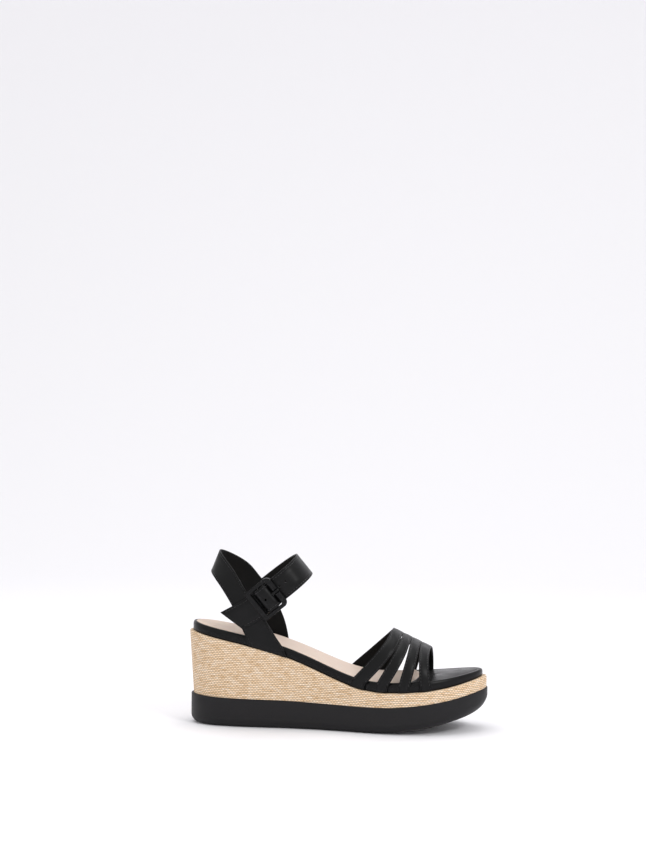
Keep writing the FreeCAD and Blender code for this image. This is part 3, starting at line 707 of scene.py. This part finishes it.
# %% Arch rails
VAMP = [((138.0, 169.8, 130.0), (150.0, 178.2, 141.7)),
        ((158.5, 178.55, 153.0), (169.0, 185.5, 163.0)),
        ((177.5, 185.85, 177.0), (187.0, 193.3, 185.5)),
        ((195.3, 193.65, 192.0), (204.5, 201.4, 201.0))]
CROWN_AT, CROWN_HIGH, CROWN_FALL = 169.8, 81.7, 0.483
RIM_STEP, STRAP_CLEAR, TUCK, TUCK_ROUND = 4.0, 0.5, 7.0, 1.9
SQUARENESS, REAR_SWEEP, FRONT_SWEEP = 2.3, (2.6, 2.3), (3.05, 2.7)
STRAP_LINE = plan(more(RIM, -STRAP_THICK - STRAP_CLEAR), RING)


def rim_y(x, side):
    """Where a strap's outer face stands beside the footbed: side -1 outer, +1 inner."""
    half = STRAP_LINE[:ROWS] if side < 0 else STRAP_LINE[ROWS - 1:][::-1]
    return np.interp(x, half[:, 0], half[:, 1])


def arch(edge, sweep):
    """Rail over the instep. Sideways it goes with sine, upwards with cosine, each to 2/2.3."""
    outer, crown, inner = edge
    turn = np.linspace(-1, 1, 161)
    swept = np.where(turn < 0, (outer - crown) * np.abs(turn) ** sweep[0],
                     (inner - crown) * np.abs(turn) ** sweep[1])
    x = crown + swept
    low = height(TOP_EDGE, x) + RIM_STEP
    high = CROWN_HIGH - CROWN_FALL * (x - CROWN_AT)
    sideways = np.sign(turn) * np.sin(np.abs(turn) * np.pi / 2) ** (2 / SQUARENESS)
    upwards = np.maximum(0, np.cos(turn * np.pi / 2)) ** (2 / SQUARENESS)
    outer_y, inner_y = rim_y(x, -1), rim_y(x, 1)
    y = (outer_y + inner_y) / 2 + (inner_y - outer_y) / 2 * sideways
    return np.stack([x, y, low + (high - low) * upwards], 1)


def tucked(x, side):
    """The end of a rail, from inside the footbed out: in along the wedge, then a bend up."""
    z = height(TOP_EDGE, x) + 0.1
    bend = np.linspace(0, np.pi / 2, 7)
    y = np.concatenate([[TUCK], TUCK_ROUND * (1 - np.sin(bend))])
    rise = np.concatenate([[0], TUCK_ROUND * (1 - np.cos(bend))])
    return np.stack([np.full(8, x), rim_y(x, side) - side * y, z + rise], 1)


def vamp_rail(edge, sweep):
    """An arch with both its ends tucked in."""
    return np.concatenate([tucked(edge[0], -1), arch(edge, sweep), tucked(edge[2], 1)[::-1]])


# %% Vamp straps, linings and stitches
CREASE = 1.25
for number, (rear_edge, front_edge) in enumerate(VAMP, start=1):
    rear, front = vamp_rail(rear_edge, REAR_SWEEP), vamp_rail(front_edge, FRONT_SWEEP)
    name = f"vamp_strap_{number}"
    face = strap(name + "_face", rear, front, strap_section(FACE, CREASE))
    hand_over(face, black_leather, name)
    lining_node = f"vamp_lining_{number}"
    lining = strap(lining_node + "_sheet", rear, front, lining_section(FACE + 0.02, LINING))
    hand_over(lining, lining_leather, lining_node)
    thread = stitches(f"vamp_stitches_{number}", rear, front, [(0, CREASE), (1, -CREASE)], (0.07, 0.93))
    hand_over(thread, thread_black, name, stands_for=False)

# %% [markdown]
# ## Heel sling
# One wide strap leaves the footbed on the outer side, goes up and round behind the
# heel and comes down on the inner side. Its upper edge leans further back than its
# lower edge, so the band is twisted like a collar.

# %% Sling
SLING_LOWER = [(52.0, -28.9, 72), (50.0, -29.0, 76), (47.2, -29.1, 82), (43.4, -29.0, 91),
               (36.4, -27.2, 103.8), (26.4, -22.6, 117.5), (19.2, -13.5, 124.6), (16.2, 0.5, 127.0),
               (17.6, 8.5, 126.5), (20.2, 14.5, 124.8), (26.5, 22.5, 118.0), (35.0, 26.8, 108.0),
               (43.5, 28.2, 96.5), (50.5, 29.0, 84.5), (56.5, 29.3, 75), (59.0, 29.25, 71)]
SLING_UPPER = [(83.6, -29.5, 62), (82.0, -29.6, 66), (77.8, -29.6, 72.5), (70.8, -29.7, 83.2),
               (60.5, -29.3, 98.6), (49.8, -27.3, 113.1), (38.2, -20.5, 129.4), (23.3, 0.5, 144.6),
               (28.6, 12.2, 141.8), (35.8, 19.8, 137.2), (44.8, 25.6, 129.9), (52.0, 27.8, 121.0),
               (60.5, 28.8, 110.5), (68.5, 29.0, 96.5), (75.0, 28.7, 81.0), (78.0, 28.2, 68)]


def sling_rail(points, reach):
    """The curve through an edge's points, with both ends led down the rim and tucked in."""
    middle = curve_through(points, np.linspace(0, len(points) - 1, 301))
    outer_foot, inner_foot = tucked(points[0][0] + reach, -1), tucked(points[-1][0] + reach, 1)
    return np.concatenate([outer_foot, middle, inner_foot[::-1]])


rear, front = sling_rail(SLING_LOWER, 0.5), sling_rail(SLING_UPPER, 0.8)
SLING_CREASE = 2.0
hand_over(strap("sling_strap_face", rear, front, strap_section(FACE, SLING_CREASE, puff=0.05)), black_leather,
          "sling_strap")
hand_over(strap("sling_lining_sheet", rear, front, lining_section(FACE + 0.02, LINING)), lining_leather,
          "sling_lining")
sewn = stitches("sling_stitches", rear, front, [(0, SLING_CREASE), (1, -SLING_CREASE)], (0.04, 0.96))
hand_over(sewn, thread_black, "sling_strap", stands_for=False)

# %% [markdown]
# ## Ankle strap
# Near the buckle it is easier to think in the buckle's own directions: along the
# strap, up across it, and outwards from the ankle. The strap is sewn to the inner
# side of the sling, goes round the front of the ankle, dives under the buckle's
# front bar, rides over the middle bar and leaves under the rear bar.

# %% The buckle's directions
BAR = np.array([68.8, -34.5, 107.6])
RISE, SPLAY = np.radians(39.0), np.radians(6.2)
ALONG = np.array([np.cos(RISE), 0, np.sin(RISE)])
UP = np.array([-np.sin(RISE), 0, np.cos(RISE)]) * np.cos(SPLAY) + np.array([0, -1, 0]) * np.sin(SPLAY)
OUT = np.cross(ALONG, UP)


def at_ankle(along, up, out):
    """Buckle millimetres to drawing millimetres: the bar's middle plus three steps."""
    return BAR + along[..., None] * ALONG + up[..., None] * UP + out[..., None] * OUT


def face_line(path, stations):
    """A path's outer face: the smooth curve moved half a strap to its outer side."""
    line = curve_through(path, stations)
    run = unit(np.gradient(line, axis=0))
    return line + np.stack([run[:, 1], -run[:, 0]], 1) * STRAP_THICK / 2


ANKLE_PATH = [(-24, -65.9), (-5, -65.4), (12, -62.6), (26, -54.5), (34.6, -41), (36.8, -27),
              (34.2, -14), (28.5, -6.4), (21, -3.1), (14, -2.2), (9.8, -2.2), (7.5, -1.7), (5.9, 0.8),
              (4.7, 2.9), (2.3, 3.9), (0, 4.05), (-2.2, 3.8), (-4.2, 2.2), (-5.8, -0.3), (-7.6, -1.9),
              (-9.8, -2.2)]
HALF_WIDTH = 10.5
line = face_line(ANKLE_PATH, np.linspace(0, len(ANKLE_PATH) - 1, 361))
level = np.full(len(line), HALF_WIDTH)
loop_rails = at_ankle(line[:, 0], -level, line[:, 1]), at_ankle(line[:, 0], level, line[:, 1])

# %% [markdown]
# The holes are real holes. A punch is a short prism; the Boolean modifier takes it
# out of the strap, and its result is kept as the strap's mesh.

# %% Punching
PRONG_SLOT, HOLES, PUNCH = (5.3, 8.2, 1.5), [(-0.6, 0.0), (14.3, 1.2), (20.4, 1.2)], 1.0


def prism(name, outline, low, high):
    """A closed prism over an outline of (along, up) points, from one height out to another."""
    outline = np.asarray(outline, float)
    count = len(outline)
    levels = [at_ankle(outline[:, 0], outline[:, 1], np.full(count, z)) for z in (low, high)]
    ring = np.stack([np.vstack([level, level[:1]]) for level in levels])
    middle = [np.repeat(level.mean(axis=0)[None], count + 1, axis=0) for level in levels]
    return from_grids(name, [ring, np.stack([middle[0], ring[0]]), np.stack([ring[1], middle[1]])])


def punched(piece, outlines, low, high):
    """The piece with every outline cut out of it between two heights."""
    tools = [prism("punch", outline, low, high) for outline in outlines]
    for tool in tools:
        cut = piece.modifiers.new("punch", "BOOLEAN")
        cut.object, cut.operation, cut.solver = tool, "DIFFERENCE", "EXACT"
    graph = bpy.context.evaluated_depsgraph_get()
    mesh = bpy.data.meshes.new_from_object(piece.evaluated_get(graph))
    piece.modifiers.clear()
    piece.data = mesh
    for tool in tools:
        bpy.data.objects.remove(tool)
    mesh.set_sharp_from_angle(angle=SHARP)
    print(f"{piece.name}: {len(outlines)} openings")
    return piece


def round_outline(along, up, radius):
    """Circle of 24 points round a spot of the strap."""
    turn = np.linspace(0, 2 * np.pi, 24, endpoint=False)
    return np.stack([along + radius * np.cos(turn), up + radius * np.sin(turn)], 1)


rear_end, fore_end, side = PRONG_SLOT
openings = [[(rear_end, -side), (fore_end, -side), (fore_end, side), (rear_end, side)]]
openings += [round_outline(along, up, PUNCH) for along, up in HOLES]

# %% Ankle strap round the ankle
ANKLE_CREASE = 1.9
loop = strap("ankle_strap_face", *loop_rails, strap_section(FACE, ANKLE_CREASE, puff=0.06))
hand_over(punched(loop, openings, -8, 12), black_leather, "ankle_strap")
loop_lining = strap("ankle_lining_sheet", *loop_rails, lining_section(FACE + 0.02, LINING))
hand_over(punched(loop_lining, openings, -8, 12), lining_leather, "ankle_lining")
sewn = stitches("ankle_stitches", *loop_rails, [(0, ANKLE_CREASE), (1, -ANKLE_CREASE)])
hand_over(sewn, thread_black, "ankle_strap", stands_for=False)

# %% [markdown]
# ## The strap's free end
# Behind the buckle the end can be lifted off the sling. It starts hidden under the
# rear bar, where it still belongs to the shoe, and bends over a few millimetres.
# Here it is one fixed piece that rides on no body.

# %% Tail
TAIL_LOW = [(-9.4, -10.5, -1.3), (-15, -10.6, -1.3), (-24, -9.1, -1.35), (-32.2, -7.6, -1.5)]
TAIL_HIGH = [(-9.4, 10.5, -1.3), (-15, 10.6, -1.3), (-27, 12.5, -1.4), (-37.8, 14.4, -1.7)]


def tail_rail(points):
    """The curve through an edge of the free end, from buckle millimetres to drawing ones."""
    spots = curve_through(points, np.linspace(0, 3, 61))
    return at_ankle(spots[:, 0], spots[:, 1], spots[:, 2])


def hand_over_tail(piece, material, node, stands_for=True):
    """Gives a piece its material, bakes its placement into its mesh and hides its CAD node if it stands for
    one; it rides on no body.
    """
    piece.data.materials.append(material)
    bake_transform(piece)
    if stands_for:
        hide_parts(node)


tail_rails = tail_rail(TAIL_LOW), tail_rail(TAIL_HIGH)
tail_section = strap_section(FACE, ANKLE_CREASE, puff=0.06)
hand_over_tail(strap("strap_tail_face", *tail_rails, tail_section), black_leather,
               "ankle_strap_tail")
hand_over_tail(strap("strap_tail_lining", *tail_rails, lining_section(FACE + 0.02, LINING)), lining_leather,
               "ankle_tail_lining")
sewn = stitches("strap_tail_stitches", *tail_rails, [(0, ANKLE_CREASE), (1, -ANKLE_CREASE)])
hand_over_tail(sewn, thread_black, "ankle_strap_tail", stands_for=False)

# %% [markdown]
# ## Buckle
# A cast frame with one bar across it. The frame is one tube whose section is a
# squarish superellipse, carried round between two rounded boxes: a large outer one
# and a small inner one, paired point for point. The same grid is then nudged where
# the casting has a seat for the prong and a lump for each end of the bar.

# %% Frame
BUCKLE_LONG, BUCKLE_WIDE, END_BAR, SIDE_BAR = 12.5, 14.25, 4.5, 3.2
FRAME_LOW, FRAME_HIGH, LUG_LOW, LUG_HALF, NOTCH_FLOOR = -0.1, 2.9, -1.7, 3.2, 2.1


def power_curve(angle, sharpness):
    """Cosine and sine with their sizes raised to 2 / sharpness: from round to square."""
    c, s = np.cos(angle), np.sin(angle)
    return np.sign(c) * np.abs(c) ** (2 / sharpness), np.sign(s) * np.abs(s) ** (2 / sharpness)


def rounded_box(half_long, half_wide, rear_round, front_round):
    """Outline with its own radius at each end: four arcs joined by even straight steps."""
    corners = [(1, 1, front_round, 0), (-1, 1, rear_round, 1),
               (-1, -1, rear_round, 2), (1, -1, front_round, 3)]
    arcs = []
    for sx, sy, radius, quarter in corners:
        turn = (quarter + np.linspace(0, 1, 11)) * np.pi / 2
        centre = np.array([sx * (half_long - radius), sy * (half_wide - radius)])
        arcs.append(centre + radius * np.stack([np.cos(turn), np.sin(turn)], 1))
    parts = []
    for arc, following in zip(arcs, arcs[1:] + arcs[:1]):
        steps = np.linspace(0, 1, 26)[1:-1, None]
        parts += [arc, arc[-1] + (following[0] - arc[-1]) * steps]
    outline = np.concatenate(parts)
    return np.vstack([outline, outline[:1]])


outer = rounded_box(BUCKLE_LONG, BUCKLE_WIDE, 1.2, 4.5)
inner = rounded_box(BUCKLE_LONG - END_BAR, BUCKLE_WIDE - SIDE_BAR, 0.6, 1.6)
share, rise = power_curve(np.linspace(0, 2 * np.pi, 41), 5.0)
flat = inner[:, None] + (outer - inner)[:, None] * ((1 + share) / 2)[None, :, None]
along, up = flat[..., 0], flat[..., 1]
section_out = (FRAME_LOW + FRAME_HIGH) / 2 + rise * (FRAME_HIGH - FRAME_LOW) / 2
out = np.broadcast_to(section_out, along.shape).copy()
in_notch = ease((along - 7) / 0.6) * ease((1.75 - np.abs(up)) / 0.5)
out -= in_notch * np.maximum(0, out - NOTCH_FLOOR)
on_lug = ease((LUG_HALF + 0.5 - np.abs(along)) / 1.0) * (np.abs(up) > BUCKLE_WIDE - SIDE_BAR - 0.1)
out += on_lug * np.minimum(0, rise) * (FRAME_LOW - LUG_LOW)
hand_over(from_grids("buckle_frame_cast", [at_ankle(along, up, out)]), enamel,
          "buckle_frame")

# %% [markdown]
# ## Prong and tab
# The prong is a ring that turns on the bar and an arm that comes up through the
# strap and rests in the seat. The tab is a strip of leather folded round the bar
# and sewn to the sling; a slot in its fold leaves the prong free to turn.

# %% Prong
BAR_RADIUS, PRONG_RADIUS, PRONG_HALF = 1.28, 2.3, 1.2
ARM = [(0.3, 1.85), (2.6, 2.1), (4.8, 2.35), (7.8, 2.98), (10.5, 2.98), (13.3, 2.85)]


def arm_grid():
    """Tube along the arm. Its section shrinks to a point over the last tenth, as a dome does."""
    where = np.linspace(0, 1, 49)
    line = curve_through(ARM, where * (len(ARM) - 1))
    run = unit(np.gradient(line, axis=0))
    close = np.sqrt(np.clip(1 - ((where - 0.93) / 0.07).clip(0, 1) ** 2, 0, 1))
    thick = np.interp(where, [0, 0.4, 1], [0.45, 0.72, 0.78]) * close
    wide = np.interp(where, [0, 1], [PRONG_HALF, PRONG_HALF * 0.85]) * close
    side, rise = power_curve(np.linspace(0, 2 * np.pi, 25), 3.0)
    lift = thick[:, None] * rise
    return at_ankle(line[:, :1] - run[:, 1:] * lift, wide[:, None] * side, line[:, 1:] + run[:, :1] * lift)


def ring_grid():
    """Band turned about the bar: a squarish section carried round a circle."""
    turn = np.linspace(0, 2 * np.pi, 49)[:, None]
    side, rise = power_curve(np.linspace(0, 2 * np.pi, 25), 3.5)
    radius = (BAR_RADIUS + PRONG_RADIUS) / 2 + rise * (PRONG_RADIUS - BAR_RADIUS) / 2
    return at_ankle(radius * np.cos(turn), PRONG_HALF * side + 0 * turn, radius * np.sin(turn))


hand_over(from_grids("buckle_prong_cast", [arm_grid(), ring_grid()]), enamel,
          "buckle_prong")

# %% Tab
TAB_LINE = [(-27, -4.75), (-18, -4.75), (-11, -4.7), (-7.0, -4.4), (-4.0, -3.3), (-1.9, -2.2), (0.0, -1.75),
            (1.55, -1.0), (1.9, 0.0), (1.35, 1.35), (0.0, 1.9), (-1.5, 1.3), (-3.0, -0.4), (-4.8, -2.1),
            (-7.4, -3.2), (-11, -3.75), (-18, -3.75), (-27, -3.75)]
TAB_HALF, TAB_THICK = 9.0, 0.75
line = curve_through(TAB_LINE, np.linspace(0, len(TAB_LINE) - 1, 171))
level = np.full(len(line), TAB_HALF)
tab_rails = at_ankle(line[:, 0], -level, line[:, 1]), at_ankle(line[:, 0], level, line[:, 1])
plain = strap_section(TAB_THICK, 1.2, deep=0.02, puff=0.0)
for half in plain:
    half[:, 2] -= TAB_THICK / 2
slot_outline = [(-3.6, -1.9), (4, -1.9), (4, 1.9), (-3.6, 1.9)]
tab = punched(strap("buckle_tab_folded", *tab_rails, plain), [slot_outline], -6, 4)
hand_over(tab, black_leather, "buckle_tab")

# %% [markdown]
# ## CAD pieces that keep their shape
# The bar is already what it should be, a plain rod. The core, shank, rivets and
# nails lie inside. All they need is the material they are made of.

# %% Dress the CAD pieces
KEPT = {"buckle_bar": enamel, "wedge_core": wedge_foam, "steel_shank": steel, "shank_rivets": steel,
        "heel_nails": steel}
for node, material in KEPT.items():
    materials = frame["nodes"][node].data.materials
    materials.clear()
    materials.append(material)
print("kept from CAD:", ", ".join(KEPT))

# %% [markdown]
# ## Table, light and camera
# A sheet of pale paper runs from under the shoe up behind it with no corner. The
# studio is white all round, so the light is even and the only shadow is a soft one
# under the raised toe. A large light above and a small one in front on the right
# draw the highlights on the leather. The Standard view keeps white paper white.

# %% Paper sweep
def paper():
    """Profile carried sideways: level, then a quarter turn of 1.2 m radius, then upright."""
    turn = np.linspace(0, np.pi / 2, 25)
    depth = np.concatenate([[-4.0, 0.6], 1.2 + 1.2 * np.sin(turn)])
    rise = np.concatenate([[0, 0], 1.2 * (1 - np.cos(turn))])
    depth, rise = np.append(depth, 2.4), np.append(rise, 5.0)
    side = np.array([-5.0, 5.0])[:, None]
    return np.stack(np.broadcast_arrays(side, depth, rise), -1) * 1000 - HEEL


sweep = from_grids("paper_sweep", [paper()])
paper_white, tree, shader = new_material("matt_paper", Roughness=0.9)
shader.inputs["Base Color"].default_value = linear("#F7F6F9")
sweep.data.materials.append(paper_white)

# %% Lights
def soft_light(name, place, aim, size, power):
    """A square area light that looks at a point."""
    lamp = bpy.data.lights.new(name, "AREA")
    lamp.size, lamp.energy = size, power
    light = bpy.data.objects.new(name, lamp)
    bpy.context.scene.collection.objects.link(light)
    light.location = place
    light.rotation_euler = (Vector(aim) - Vector(place)).to_track_quat("-Z", "Y").to_euler()


soft_light("overhead", (-0.1, 0.3, 1.6), (0, 0, 0.05), 1.3, 7)
soft_light("front_high", (0.9, -0.9, 1.0), (0, 0, 0.08), 0.35, 6)
bpy.context.scene.view_settings.view_transform = "Standard"
world = bpy.data.worlds.new("studio")
world.use_nodes = True
world.node_tree.nodes["Background"].inputs["Color"].default_value = linear("#FFFFFF")
world.node_tree.nodes["Background"].inputs["Strength"].default_value = 0.91
bpy.context.scene.world = world

# %% Camera
CAMERA_AT = (0.1756, -1.4399, 0.255)
YAW, TILT, ROLL, LENS = np.radians(7.45), np.radians(0.41), np.radians(0.43), 72.8
ahead = Vector((-np.sin(YAW) * np.cos(TILT), np.cos(YAW) * np.cos(TILT), -np.sin(TILT)))
right = Vector((np.cos(YAW), np.sin(YAW), 0))
top = right.cross(ahead)
turned = right * np.cos(ROLL) + top * np.sin(ROLL), top * np.cos(ROLL) - right * np.sin(ROLL), -ahead
camera = bpy.data.objects.new("camera", bpy.data.cameras.new("camera"))
camera.data.lens, camera.data.sensor_width = LENS, 36.0
camera.matrix_world = Matrix.Translation(CAMERA_AT) @ Matrix(turned).transposed().to_4x4()
bpy.context.scene.collection.objects.link(camera)
bpy.context.scene.camera = camera
